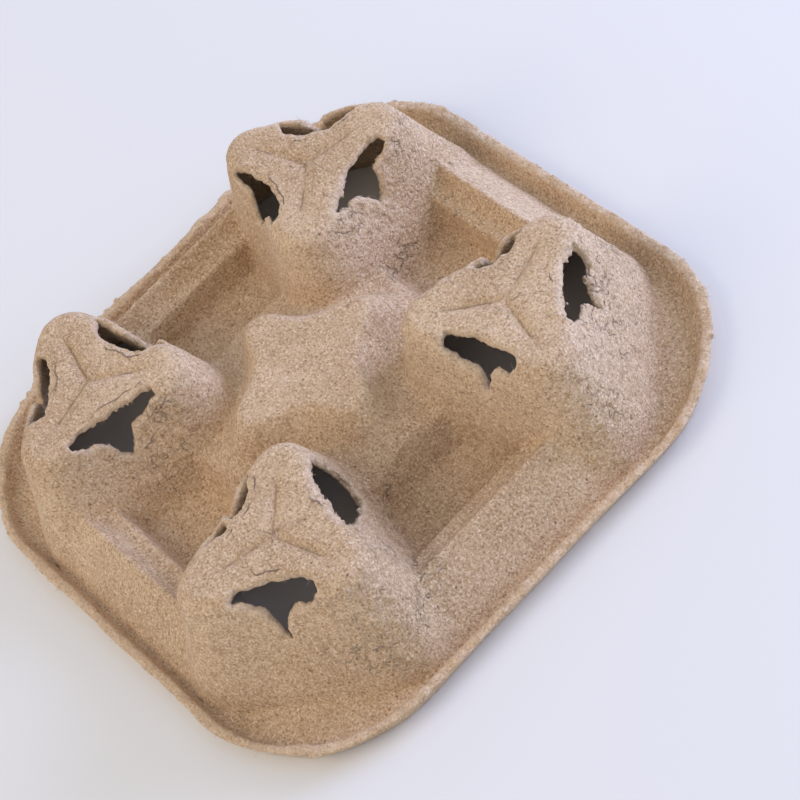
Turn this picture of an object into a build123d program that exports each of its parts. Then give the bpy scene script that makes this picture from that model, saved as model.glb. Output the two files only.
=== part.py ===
from build123d import *
import os
from math import cos, degrees, pi, radians, sin, sqrt, tan

# A four-cup carrier moulded from paper pulp, modelled upside down: its deck lies at z = 0 and the closed
# ends of its cells point up. Sizes are in millimetres. The form repeats four times about Z, and both faces
# of the sheet are made by the same functions: with inset 0 the upper face, with inset wall the lower one.

# Sheet and levels
wall = 2.2                # thickness of the moulded sheet
cell_height = 45.5        # underside of the deck to the closed end of a cell
strip_level = 17.0        # flat strip between two cells
ridge_level = 22.5        # ridge along the outer side of that strip
dent_level = 6.0          # bottom of the dent in the middle of each side
hub_drop = 12.0           # top of the raised centre below the closed ends

# Plan
cell_pitch = 100.0        # centre to centre of two neighbouring cells
foot_reach = 96.8         # centre of the carrier to the foot of its sloping outer wall
foot_half_width = 42.5    # half the length of that foot
strip_half_width = 38.0   # half the length of the wall at the level of the strip
wall_lean = 36.0          # lean of the outer wall from the vertical, degrees

# Cells, each with three lobes and one of them towards the centre of the carrier
cells = 4
cell_lobes = 3
mouth_tip = 48.0          # centre of the cell to a lobe, at the deck
mouth_side = 34.4         # centre of the cell to the side between two lobes, at the deck
mouth_side_bend = 0.0     # curvature of that side in 1/mm, hollow when negative
end_tip = 33.0            # the same three at the closed end
end_side = 19.0
end_side_bend = -0.02
end_round = 6.0           # rounding round the closed end
cell_lean = 20.0          # lean of the cell wall from the vertical, degrees

# Ridge and the groove behind it
ridge_half_width = 36.0
ridge_width = 4.7         # top of the ridge to the groove
ridge_tail = 12.5         # depth to which the ridge follows the outer wall
ridge_round = 2.6
groove_round = 2.5

# Dent between two cells
dent_near_gap = 18.0      # top of the raised centre to the near end of the dent's bottom
dent_far = 70.5           # centre of the carrier to its far end
dent_half_width = 26.0
dent_near_lean = 20.0     # degrees
dent_far_lean = 10.0
dent_round = 5.0
dent_rim_round = 1.2

# Raised centre with four points, one towards the middle of each side
hub_points = 4
hub_skirt = (-0.09, 60.0, 56.0, 0.016)  # share of its height, reach of a point, reach between, bend there
hub_foot = (0.06, 45.0, 40.0, 0.018)
hub_neck = (0.36, 36.0, 25.5, 0.0)
hub_tip = 28.5            # reach of a point at the top
hub_side = 17.5           # reach between two points at the top
hub_side_bend = -0.03
hub_round = 4.0

# Blends where the cells run into the walls between them, and where everything meets the deck
cell_blend = 2.5
foot_blend = 0.5

# Upturned rim round the deck
rim_height = 8.3
deck_edge = 1.2           # flat deck between the foot of the outer wall and the rim
rim_lean = 34.5           # degrees
rim_thickness = 2.6
rim_foot_round = 1.0
rim_heel_round = 2.5
rim_edge_round = 0.6

# Creases pressed into the closed ends, from the middle along each lobe
crease_reach = 22.0
crease_width = 4.5
crease_depth = 1.2
crease_bevel = 0.8

# Slots at the closed end, one on each side of a cell, each with a torn notch in its lower edge
slot_reach = 17.8         # centre of the cell to the inner edge of a slot
slot_half_width = 14.5
slot_end_drop = 2.3       # lower edge below the closed end, at the ends of the slot
slot_drop = 6.9           # and beside the notch
notch_half_width = 4.8
notch_drop = 15.5
slot_round = 1.0
slot_cut = 14.0           # how far outwards a slot is cut

outline_points = 8        # points of an outline curve for each lobe
close = 0.01              # how near an edge lies to the level it is picked by


def sideways(inset, lean):
    """Shift towards the inside of a wall's lower face, on levels that are lower by the same inset."""
    return inset * (1 - sin(radians(lean))) / cos(radians(lean))


def lobed_sketch(level, lobes, tip, side, bend, facing, inset):
    """Closed smooth outline with lobes that reach tip, and sides between them that reach side."""
    swing = (tip - side) / 2
    second = (lobes**2 * swing - side + bend * side**2) / (4 * lobes**2)
    mean = (tip + side) / 2 - second
    steps = outline_points * lobes
    points = []
    for step in range(steps):
        turn = 2 * pi * step / steps
        reach = mean + swing * cos(lobes * turn) + second * cos(2 * lobes * turn)
        slope = -lobes * swing * sin(lobes * turn) - 2 * lobes * second * sin(2 * lobes * turn)
        point = Vector(reach, 0) - Vector(reach, -slope).normalized() * inset
        points.append(point.rotate(Axis.Z, degrees(turn) + facing))
    with BuildSketch(Plane.XY.offset(level)) as outline:
        with BuildLine():
            Spline(*points, periodic=True)
        make_face()
    return outline.sketch


def octagon_sketch(level, reach, half_width):
    """Square with its corners cut off: each long side is twice half_width."""
    with BuildSketch(Plane.XY.offset(level)) as outline:
        Rectangle(2 * reach, 2 * reach)
        chamfer(outline.vertices(), reach - half_width)
    return outline.sketch


def square_sketch(level, reach):
    """Square with rounded corners that are centred on the cells."""
    with BuildSketch(Plane.XY.offset(level)) as outline:
        RectangleRounded(2 * reach, 2 * reach, reach - cell_pitch / 2)
    return outline.sketch


def cell(inset):
    """One cell centred on Z, with the side that faces a corner of the carrier towards +X."""
    shift = sideways(inset, cell_lean)
    end_level = cell_height - inset
    with BuildPart() as body:
        loft(
            [
                lobed_sketch(wall - inset, cell_lobes, mouth_tip, mouth_side, mouth_side_bend, 180, shift),
                lobed_sketch(end_level, cell_lobes, end_tip, end_side, end_side_bend, 180, shift),
            ],
            ruled=True,
        )
        fillet(body.faces().sort_by(Axis.Z)[-1].edges(), end_round - inset)
        with BuildSketch(Plane.XY.offset(end_level)):
            with PolarLocations(crease_reach / 2, cell_lobes, start_angle=180):
                SlotCenterToCenter(crease_reach, crease_width + inset)
        extrude(amount=-crease_depth, mode=Mode.SUBTRACT)
        if inset == 0:
            upper = body.edges().filter_by_position(Axis.Z, end_level - close, end_level + close)
            chamfer(upper.sort_by(SortBy.DISTANCE)[: 3 * cell_lobes], crease_bevel)
    return body.part


def reach_of(edge):
    """How far the middle of an edge lies from the centre of the carrier, along X or Y."""
    middle = edge.center()
    return max(abs(middle.X), abs(middle.Y))


def between_cells(inset):
    """The outer walls with their ridges, the dents and the raised centre, without the cells."""
    shift = sideways(inset, wall_lean)
    lean = tan(radians(wall_lean))
    reach = foot_reach - shift
    ridge_reach = reach - lean * (ridge_level - wall)
    ridge_top, strip = ridge_level - inset, strip_level - inset
    groove_reach = ridge_reach - ridge_width
    tail = (ridge_reach + lean * ridge_tail, ridge_top - ridge_tail)
    behind = groove_reach - 2 * groove_round

    dent_shift = sideways(inset, dent_near_lean)
    near, far = hub_tip + dent_near_gap - dent_shift, dent_far + dent_shift
    bottom = dent_level - inset
    hub_level = cell_height - hub_drop
    hub_rise = hub_level - strip_level
    depth = hub_level - dent_level
    near_run = tan(radians(dent_near_lean))
    far_run = tan(radians(dent_far_lean))

    with BuildPart() as body:
        loft(
            [
                octagon_sketch(wall - inset, reach, foot_half_width),
                octagon_sketch(strip, reach - lean * (strip_level - wall), strip_half_width),
            ],
            ruled=True,
        )
        for side in range(cells):
            with BuildSketch(Plane.XZ.rotated((0, 0, 360 / cells * side))):
                with BuildLine():
                    upper = FilletPolyline(
                        tail,
                        (ridge_reach, ridge_top),
                        (groove_reach, strip),
                        (behind, strip),
                        radius=(max(ridge_round - inset, wall / 10), groove_round + inset),
                    )
                    Polyline(upper @ 1, (behind, tail[1]), upper @ 0)
                make_face()
            extrude(amount=ridge_half_width, both=True)
        sections = []
        for share, tip, between, bend in (hub_skirt, hub_foot, hub_neck):
            sections.append(lobed_sketch(strip + share * hub_rise, hub_points, tip, between, bend, 0, shift))
        top = lobed_sketch(hub_level - inset, hub_points, hub_tip, hub_side, hub_side_bend, 0, shift)
        loft(sections + [top])
        for side in range(cells):
            with BuildSketch(Plane.XZ.rotated((0, 0, 360 / cells * side))) as dent:
                with BuildLine():
                    Polyline(
                        (near, bottom),
                        (far, bottom),
                        (far + depth * far_run, bottom + depth),
                        (near - depth * near_run, bottom + depth),
                        close=True,
                    )
                make_face()
                fillet(dent.vertices().group_by(Axis.Z)[0], dent_round - inset)
            extrude(amount=dent_half_width, both=True, mode=Mode.SUBTRACT)
        hub_top = body.faces().filter_by(Plane.XY).sort_by(Axis.Z)[-1]
        fillet(hub_top.edges(), hub_round - inset / 2)
        if inset == 0:
            far_rim = far + far_run * (strip - bottom)
            fillet(body.edges().filter_by(lambda edge: abs(reach_of(edge) - far_rim) < close), dent_rim_round)
    return body.part


def form(inset):
    """The whole upper face as one solid, or with inset wall the whole lower face."""
    middle = between_cells(inset)
    with BuildPart() as ring:
        with PolarLocations(cell_pitch / sqrt(2), cells, start_angle=45):
            add(cell(inset))
    with BuildPart() as body:
        add(middle)
        add(ring.part)
        seams = new_edges(middle, ring.part, combined=body.part)
        if inset == 0:
            fillet(seams.filter_by(lambda edge: edge.center().Z > wall + close), cell_blend)
    return body.part


def slot_cutters():
    """The three slots of one cell, centred like the cell."""
    with BuildPart() as cutters:
        for side in range(cell_lobes):
            plane = Plane.YZ.rotated((0, 0, 360 / cell_lobes * side)).offset(slot_reach)
            with BuildSketch(plane) as slot:
                with BuildLine():
                    half = Polyline(
                        (0, cell_height + wall),
                        (slot_half_width, cell_height + wall),
                        (slot_half_width, cell_height - slot_end_drop),
                        (notch_half_width, cell_height - slot_drop),
                        (0, cell_height - notch_drop),
                    )
                    mirror(half, about=Plane.YZ)
                make_face()
                lower = slot.vertices().filter_by_position(Axis.Z, 0, cell_height - slot_drop + close)
                fillet(lower, slot_round)
            extrude(amount=slot_cut)
    return cutters.part


with BuildPart() as rim:
    rim_foot_reach = foot_reach + deck_edge
    outer_foot = rim_foot_reach + rim_thickness / cos(radians(rim_lean))
    flare = tan(radians(rim_lean))
    loft(
        [
            square_sketch(0, outer_foot - flare * wall),
            square_sketch(rim_height, outer_foot + flare * (rim_height - wall)),
        ],
        ruled=True,
    )
    loft(
        [
            square_sketch(wall, rim_foot_reach),
            square_sketch(rim_height, rim_foot_reach + flare * (rim_height - wall)),
        ],
        ruled=True,
        mode=Mode.SUBTRACT,
    )
    fillet(rim.edges().filter_by_position(Axis.Z, wall - close, wall + close), rim_foot_round)
    fillet(rim.edges().group_by(Axis.Z)[0], rim_heel_round)
    fillet(rim.edges().group_by(Axis.Z)[-1], rim_edge_round)

upper_form = form(0)
lower_form = form(wall)
slots = slot_cutters()

with BuildPart() as cup_tray:
    add(rim.part)
    add(upper_form)
    feet = cup_tray.edges().filter_by_position(Axis.Z, wall - close, wall + close)
    feet = feet.filter_by(lambda edge: reach_of(edge) < foot_reach + close)
    fillet(feet, foot_blend)
    add(lower_form, mode=Mode.SUBTRACT)
    with PolarLocations(cell_pitch / sqrt(2), cells, start_angle=45):
        add(slots, mode=Mode.SUBTRACT)

cup_tray.part.label = "cup_tray"
os.makedirs("parts", exist_ok=True)
export_step(cup_tray.part, "parts/cup_tray.step")
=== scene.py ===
import itertools
import logging
import math
from dataclasses import dataclass, field
from enum import Enum
from typing import ClassVar, Optional, Union

import bpy
import numpy as np
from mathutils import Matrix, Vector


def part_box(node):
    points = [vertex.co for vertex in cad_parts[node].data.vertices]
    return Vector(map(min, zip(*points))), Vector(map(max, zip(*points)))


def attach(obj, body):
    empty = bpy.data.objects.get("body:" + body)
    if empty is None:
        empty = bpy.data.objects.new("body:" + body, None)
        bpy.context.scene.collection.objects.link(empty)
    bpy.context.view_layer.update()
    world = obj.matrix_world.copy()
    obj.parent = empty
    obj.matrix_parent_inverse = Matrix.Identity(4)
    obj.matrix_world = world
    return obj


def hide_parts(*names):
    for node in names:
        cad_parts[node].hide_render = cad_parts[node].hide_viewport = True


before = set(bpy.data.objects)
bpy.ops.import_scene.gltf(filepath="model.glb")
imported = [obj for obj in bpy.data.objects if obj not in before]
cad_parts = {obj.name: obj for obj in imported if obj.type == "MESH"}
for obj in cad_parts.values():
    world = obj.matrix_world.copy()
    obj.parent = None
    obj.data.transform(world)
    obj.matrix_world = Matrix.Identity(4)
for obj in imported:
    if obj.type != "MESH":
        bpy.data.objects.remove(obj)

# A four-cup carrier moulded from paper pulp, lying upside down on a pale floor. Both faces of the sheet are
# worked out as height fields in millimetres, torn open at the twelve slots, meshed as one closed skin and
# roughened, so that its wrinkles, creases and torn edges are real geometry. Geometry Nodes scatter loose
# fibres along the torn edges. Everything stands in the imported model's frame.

import openvdb as vdb
from mathutils import Matrix, Vector

logging.basicConfig(level=logging.INFO, format="%(message)s")
log = logging.getLogger("carrier")

Array = np.ndarray
Tree = bpy.types.NodeTree
Socket = bpy.types.NodeSocket
Pair = tuple[float, float]
Triple = tuple[float, float, float]
Tint = Union[Socket, str]
Mask = Union[Socket, float]

MM = 0.001  # a millimetre in metres
CELL_OFFSET = 50.0  # middle of the carrier to the middle of a cell, along X and along Y, in millimetres
FAR = 9.0  # a distance stored on the skin stops at this many millimetres
TEAR_SEED = 11  # seed of the torn edges' noise, the same wherever an edge is worked out
CELL_SPACE = 40.0  # half the width of the space round a cell that its slots lie in
SLOTS_FROM = 18.0  # and the level from which they lie there
BODY = "cup_tray"
PHOTO_WIDTH = 800  # pixels
SENSOR_WIDTH = 36.0  # millimetres

# The colour mix shares its node with other kinds of mix, so its sockets go by number
MIX_FACTOR, MIX_UNDER, MIX_OVER, MIX_RESULT = 0, 6, 7, 2


def linear(code: str) -> tuple[float, float, float, float]:
    """Turn an sRGB hex colour such as #B59A7B into linear RGBA."""
    parts = [int(code[i:i + 2], 16) / 255 for i in (1, 3, 5)]
    return tuple(c / 12.92 if c <= 0.04045 else ((c + 0.055) / 1.055) ** 2.4 for c in parts) + (1.0,)


def add_node(tree: Tree, kind: str, inputs: Optional[dict] = None, **settings) -> bpy.types.Node:
    """Add one node to a tree.

    Args:
        tree: the shader or geometry tree.
        kind: the node's type name.
        inputs: what goes into each input, by its name or number: an output socket, which is linked, or a
            hex colour or plain value, which is set on the input itself.
        settings: attributes of the node itself.

    Returns:
        The new node.
    """
    node = tree.nodes.new(kind)
    for name, value in settings.items():
        setattr(node, name, value)
    for key, item in (inputs or {}).items():
        if isinstance(item, Socket):
            tree.links.new(item, node.inputs[key])
        else:
            is_colour = isinstance(item, str) and item.startswith("#")
            node.inputs[key].default_value = linear(item) if is_colour else item
    return node


def smooth_max(a: Array, b: Array, width: float) -> Array:
    """Larger of two fields, blended where they differ by less than width."""
    t = np.clip(0.5 + 0.5 * (a - b) / width, 0.0, 1.0)
    return b + (a - b) * t + width * t * (1.0 - t)


def smooth_min(a: Array, b: Array, width: float) -> Array:
    """Smaller of two fields, blended where they differ by less than width."""
    return -smooth_max(-a, -b, width)


def smooth_step(value: Array, low: float, high: float) -> Array:
    """Ease from 0 at low to 1 at high, which may be the lower of the two."""
    t = np.clip((value - low) / (high - low), 0.0, 1.0)
    return t * t * (3.0 - 2.0 * t)


def read_points(mesh: bpy.types.Mesh) -> Array:
    """Read the points of a mesh.

    Args:
        mesh: the mesh.

    Returns:
        The points, one to a row.
    """
    points = np.empty(len(mesh.vertices) * 3, np.float32)
    mesh.vertices.foreach_get("co", points)
    return points.reshape(-1, 3)


def write_points(mesh: bpy.types.Mesh, points: Array) -> None:
    """Move the points of a mesh to the places given, one to a row."""
    mesh.vertices.foreach_set("co", points.ravel())
    mesh.update()


def keep_in_box(mesh: bpy.types.Mesh) -> None:
    """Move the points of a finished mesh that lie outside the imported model's box back on to it."""
    low, high = (np.array(corner, np.float32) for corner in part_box(BODY))
    write_points(mesh, np.clip(read_points(mesh), low, high))


def from_cell(x: Array, y: Array) -> tuple[Array, Array, Array]:
    """See places on the plan from the middle of the nearest cell.

    Args:
        x, y: places in millimetres.

    Returns:
        Distances from the cell's middle along X and Y, and the angle from the way to the carrier's middle.
    """
    centre_x, centre_y = (np.where(axis > 0, CELL_OFFSET, -CELL_OFFSET) for axis in (x, y))
    out_x, out_y = x - centre_x, y - centre_y
    return out_x, out_y, np.arctan2(out_y, out_x) - np.arctan2(centre_y, centre_x) + math.pi


class Noise:
    """Seeded smooth noise in space, about -1 to 1."""

    def __init__(self, seed: int, size: int = 48) -> None:
        """Draw the lattice of random values, size to a side."""
        self.size = size
        self.table = np.random.default_rng(seed).uniform(-1, 1, (size, size, size)).astype(np.float32)

    def __call__(self, x: Array, y: Array, z: Array, wave: float) -> Array:
        """Read the noise.

        Args:
            x, y, z: places in millimetres.
            wave: distance from one lattice point to the next, in millimetres.

        Returns:
            One value for each place.
        """
        corners, weights = [], []
        for axis in np.broadcast_arrays(x, y, z):
            cell = np.floor(axis / wave)
            part = axis / wave - cell
            corners.append(cell.astype(np.int64))
            weights.append(part * part * (3 - 2 * part))
        out = 0.0
        for steps in itertools.product((0, 1), repeat=3):
            value = self.table[tuple((corner + step) % self.size for corner, step in zip(corners, steps))]
            for weight, step in zip(weights, steps):
                value = value * (weight if step else 1 - weight)
            out = out + value
        return out

    def layers(self, x: Array, y: Array, z: Array, parts: tuple[Pair, ...]) -> Array:
        """Add up the noise at several heights and waves, in millimetres."""
        return sum(height * self(x, y, z, wave) for height, wave in parts)


class Side(Enum):
    """Side of a cell, as degrees counter-clockwise from the side that faces the carrier's corner."""

    CORNER = 0
    LEFT = 120
    RIGHT = -120


@dataclass(frozen=True)
class Slot:
    """One torn opening where a cell's wall meets its closed end, in millimetres.

    Lower is the torn edge of the wall as places along the side and levels. Floor is the torn edge of the
    closed end as places along the side and distances from the cell's centre. Lip is how far the wall's edge
    is bent outwards.
    """

    cell: tuple[int, int]
    side: Side
    lower: tuple[Pair, ...]
    floor: tuple[Pair, ...]
    lip: float = 0.0

    # Height and wave of the raggedness of the closed end's edge, of the wall's edge and along the side
    floor_tear: ClassVar[tuple[Pair, ...]] = ((0.5, 4.3), (0.45, 1.9), (0.3, 1.0))
    wall_tear: ClassVar[tuple[Pair, ...]] = ((0.7, 3.1), (0.6, 1.4))
    side_tear: ClassVar[tuple[Pair, ...]] = ((0.6, 2.3), (0.4, 1.1))
    half_span: ClassVar[float] = 25.0  # more than half the widest slot
    inner_face: ClassVar[Pair] = (18.5, 0.01)  # cell's centre to the wall's inner face, and that face's bend
    undercut: ClassVar[float] = 2.5  # how steeply the wall's edge drops inside that face
    steepest: ClassVar[float] = 3.0  # steepest part of an edge that the depth allows for
    end_play: ClassVar[float] = 0.4  # how far the slot runs past the ends of its edge
    outer_reach: ClassVar[float] = 36.0  # cell's centre to well outside its wall

    def place(self, x: Array, y: Array) -> tuple[Array, Array, float]:
        """See places on the plan from the slot.

        Args:
            x, y: places in millimetres.

        Returns:
            Distances along the side and out from the cell's centre, and the way out in radians.
        """
        centre_x, centre_y = CELL_OFFSET * self.cell[0], CELL_OFFSET * self.cell[1]
        turn = math.atan2(centre_y, centre_x) + math.radians(self.side.value)
        out = (x - centre_x) * math.cos(turn) + (y - centre_y) * math.sin(turn)
        across = (y - centre_y) * math.cos(turn) - (x - centre_x) * math.sin(turn)
        return across, out, turn

    def beside(self, across: Array, start: float, end: float) -> Array:
        """Whether places along the side lie within the slot, less start and end at its ends."""
        return (across > self.lower[0][0] + start) & (across < self.lower[-1][0] - end)

    def floor_gap(self, x: Array, y: Array, z: Array, ragged: Noise) -> Array:
        """Distance outwards from the torn edge of the closed end, negative within it."""
        across, out, _ = self.place(x, y)
        return out - np.interp(across, *np.array(self.floor).T) - ragged.layers(x, y, z, self.floor_tear)

    def void(self, x: Array, y: Array, z: Array, ragged: Noise) -> Array:
        """Depth inside the opening.

        Args:
            x, y, z: places in millimetres.
            ragged: noise of the torn edges.

        Returns:
            The depth in millimetres, positive where the pulp is torn away.
        """
        across, out, _ = self.place(x, y)
        lats, levels = np.array(self.lower).T
        frayed = across + ragged.layers(x, y, z, self.side_tear)
        fine = np.linspace(-self.half_span, self.half_span, 501)
        steep = np.interp(frayed, fine, np.hypot(1.0, np.gradient(np.interp(fine, lats, levels), fine)))
        inner_face = self.inner_face[0] + self.inner_face[1] * across ** 2
        low = np.interp(frayed, lats, levels) - self.undercut * np.maximum(inner_face - out, 0)
        above = (z - low - ragged.layers(x, y, z, self.wall_tear)) / np.minimum(steep, self.steepest)
        ends = np.minimum(across - lats[0], lats[-1] - across) + self.end_play
        gap = self.floor_gap(x, y, z, ragged)
        return np.minimum(np.minimum(above, gap), np.minimum(ends, self.outer_reach - out))


@dataclass(frozen=True)
class PulpSheet:
    """The carrier's moulded form, both faces as heights over the plan, in millimetres and degrees.

    An outline with lobes is given by the reach of a lobe, the reach between two lobes and the bend there.
    """

    wall: float = 2.2  # thickness of the sheet
    deck_blend: float = 1.5  # where everything meets the deck

    cell_height: float = 45.5
    mouth: Triple = (48.0, 34.4, 0.0)  # outline of a cell at the deck
    end: Triple = (33.0, 19.0, -0.02)  # and at its closed end
    end_round: float = 6.0
    cell_lean: float = 20.0
    cell_blend: float = 6.5  # where a cell runs into the walls between the cells

    foot_reach: float = 96.8  # middle of the carrier to the foot of its sloping outer wall
    wall_lean: float = 36.0
    corner_reach: float = 139.3  # sum of X and Y at the foot of that wall beside a cell
    corner_slope: float = 0.97
    strip_level: float = 17.0
    strip_blend: float = 2.4
    ridge_level: float = 22.5
    ridge_width: float = 4.7
    ridge_half_length: float = 35.0
    ridge_end_slope: float = 2.0
    ridge_blend: float = 2.6

    dent_level: float = 6.0
    dent: Pair = (46.5, 70.5)  # middle of the carrier to the near and far end of a dent's bottom
    dent_leans: Pair = (20.0, 10.0)
    dent_half_width: float = 26.0
    dent_blends: Triple = (5.0, 6.0, 2.6)  # near end, far end and upper edge

    hub: tuple[tuple[float, float, float, float], ...] = (  # levels and outlines of the raised centre
        (15.5, 60.0, 56.0, 0.016), (18.0, 45.0, 40.0, 0.018),
        (23.0, 36.0, 25.5, 0.0), (33.5, 28.5, 17.5, -0.03))
    hub_blends: Triple = (1.0, 2.8, 2.0)  # between its parts, at its top and with the walls
    hub_skirt_slope: float = 2.0

    rim_reach: float = 98.0  # middle of the carrier to the inner foot of the rim
    rim_height: float = 8.3
    rim_slope: float = 0.687  # run over rise of the regular rim
    rim_run: float = 6.8  # how far it flares out
    rim_side_runs: Triple = (5.6, 6.6, 3.6)  # the same on its X sides, +Y side and -Y side
    rim_thickness: float = 1.9
    rim_blends: Pair = (2.0, 1.2)  # upper and lower face
    rim_sag: float = 0.6
    rim_waves: tuple[Pair, Pair] = ((0.5, 21.0), (0.03, 17.0))  # of its reach and of its slope
    rim_trim: float = 0.7  # how far the frayed edge stays below the full height
    rim_fray: tuple[Pair, ...] = ((0.4, 9.0), (0.35, 2.9), (0.35, 1.3))

    crease_depth: float = 1.6
    crease_width: float = 5.2
    crease_profile: tuple[Pair, Pair] = ((0.55, 1.5), (0.45, 6))  # share and sharpness of valley and bottom
    crease_fade: Pair = (14.4, 26.0)  # middle of a cell to where a crease starts to fade and is gone

    crumple_from: Pair = (5.0, 13.0)  # levels at which crumpling sets in
    crumple_to: Pair = (41.5, 44.5)  # and at which it stops
    crumple_reach: Pair = (40.0, 50.0)  # middle of a cell to where it stops
    crumple_clear: Pair = (34.0, 46.0)  # middle of the carrier to where it sets in
    crumple_side: Pair = (0.67, 0.74)  # the way that the most crumpled sides face
    crumple_turn: Pair = (-0.2, 0.6)  # cosines to that way of the least and the most crumpled sides
    crumple_least: float = 0.3

    def lobed(self, turn: Array, lobes: int, outline: Triple, inset: float) -> tuple[Array, Array]:
        """Work out a smooth outline with lobes.

        Args:
            turn: angles in radians.
            lobes: how many there are.
            outline: reach of a lobe, reach between two lobes and bend there.
            inset: how far the outline is moved inwards.

        Returns:
            The reach at each angle, and the cosine between the outline's normal and the radius.
        """
        tip, side, bend = outline
        swing = (tip - side) / 2
        second = (lobes ** 2 * swing - side + bend * side ** 2) / (4 * lobes ** 2)
        mean = (tip + side) / 2 - second
        reach = mean + swing * np.cos(lobes * turn) + second * np.cos(2 * lobes * turn)
        slope = -lobes * swing * np.sin(lobes * turn) - 2 * lobes * second * np.sin(2 * lobes * turn)
        cosine = reach / np.hypot(reach, slope)
        return reach - inset / cosine, cosine

    def sideways(self, inset: float, lean: float) -> float:
        """Shift of a leaning wall's lower face on levels that are lower by inset."""
        return inset * (1 - math.sin(math.radians(lean))) / math.cos(math.radians(lean))

    def cell(self, x: Array, y: Array, inset: float) -> Array:
        """Height of the nearest cell's wall and closed end.

        Args:
            x, y: places on the plan.
            inset: 0 for the upper face, the thickness for the lower.

        Returns:
            The heights.
        """
        out_x, out_y, turn = from_cell(x, y)
        shift = self.sideways(inset, self.cell_lean)
        mouth, _ = self.lobed(turn, 3, self.mouth, shift)
        end, cosine = self.lobed(turn, 3, self.end, shift)
        top, foot = self.cell_height - inset, self.wall - inset
        steep = (top - foot) / ((mouth - end) * cosine)
        beyond = (np.hypot(out_x, out_y) - end) * cosine
        lean = np.arctan(steep)
        radius = self.end_round - inset
        start = radius * np.tan(lean / 2)
        arc = top - radius + np.sqrt(np.maximum(radius ** 2 - np.maximum(beyond + start, 0) ** 2, 0))
        height = np.where(beyond < start * np.cos(lean), arc, top - beyond * steep)
        return height - self.creases(out_x, out_y, turn)

    def crease_lines(self, x: Array, y: Array, turn: Array) -> tuple[Array, Array]:
        """Find the nearest of a cell's three crease lines.

        Args:
            x, y, turn: places as from_cell gives them.

        Returns:
            The signed distance from the line, and how far the line has faded there, 0 to 1.
        """
        reach = np.hypot(x, y)
        off = (turn + math.pi / 3) % (2 * math.pi / 3) - math.pi / 3
        return reach * np.sin(off), smooth_step(reach * np.cos(off), *self.crease_fade)

    def creases(self, x: Array, y: Array, turn: Array) -> Array:
        """Depth of the three creases pressed into a closed end, each a broad valley with a sharp bottom.

        Args:
            x, y, turn: places as from_cell gives them.

        Returns:
            The depths.
        """
        across, fade = self.crease_lines(x, y, turn)
        valley = np.clip(1 - np.abs(across) / self.crease_width, 0, 1)
        pressed = sum(share * valley ** power for share, power in self.crease_profile)
        return pressed * self.crease_depth * (1 - fade)

    def between(self, x: Array, y: Array, inset: float) -> Array:
        """Height of the outer walls, ridges, dents and raised centre.

        Args:
            x, y: places on the plan.
            inset: 0 for the upper face, the thickness for the lower.

        Returns:
            The heights.
        """
        along, across = np.maximum(abs(x), abs(y)), np.minimum(abs(x), abs(y))
        lean = math.tan(math.radians(self.wall_lean))
        shift = self.sideways(inset, self.wall_lean)
        floor, reach = self.wall - inset, self.foot_reach - shift
        slope = floor + (reach - along) / lean
        corner = floor + (self.corner_reach - shift - along - across) * self.corner_slope
        strip = np.minimum(np.minimum(slope, corner), self.strip_level - inset)
        ridge_reach = reach - lean * (self.ridge_level - self.wall)
        fall = (self.ridge_level - self.strip_level) / self.ridge_width
        crest = self.ridge_level - inset + (along - ridge_reach) * fall
        ridge = smooth_min(slope, crest, self.ridge_blend)
        ridge -= self.ridge_end_slope * np.maximum(across - self.ridge_half_length, 0)
        height = smooth_max(strip, ridge, self.strip_blend)
        height = smooth_max(height, self.raised_centre(x, y, inset, shift), self.hub_blends[2])
        dent = np.where(across < self.dent_half_width, self.dent_face(along, inset), self.cell_height * 2)
        return smooth_min(height, dent, self.dent_blends[2])

    def dent_face(self, along: Array, inset: float) -> Array:
        """Height of the dents' ends and bottom.

        Args:
            along: distance from the carrier's middle to each place, along the nearest of X and Y.
            inset: 0 for the upper face, the thickness for the lower.

        Returns:
            The heights.
        """
        near_run, far_run = (self.sideways(inset, lean) for lean in self.dent_leans)
        near_lean, far_lean = (math.tan(math.radians(lean)) for lean in self.dent_leans)
        bottom = self.dent_level - inset
        near = bottom + (self.dent[0] - near_run - along) / near_lean
        far = bottom + (along - self.dent[1] - far_run) / far_lean
        return smooth_max(smooth_max(near, bottom + 0 * along, self.dent_blends[0]), far, self.dent_blends[1])

    def raised_centre(self, x: Array, y: Array, inset: float, shift: float) -> Array:
        """Height of the raised centre with its four points.

        Args:
            x, y: places on the plan.
            inset: 0 for the upper face, the thickness for the lower.
            shift: how far the outlines are moved inwards for that face.

        Returns:
            The heights.
        """
        reach, turn = np.hypot(x, y), np.arctan2(y, x)
        between, top, _ = self.hub_blends
        rings = [self.lobed(turn, 4, section[1:], shift)[0] for section in self.hub]
        height = np.full_like(reach, -self.cell_height)
        for (lower, upper), (outer, within) in zip(zip(self.hub, self.hub[1:]), zip(rings, rings[1:])):
            line = lower[0] - inset + (outer - reach) * (upper[0] - lower[0]) / (outer - within)
            height = smooth_max(height, line, between)
        height = np.minimum(height, self.hub[0][0] - inset + self.hub_skirt_slope * (rings[0] - reach))
        return smooth_min(height, self.hub[-1][0] - inset + 0 * x, top)

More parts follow.
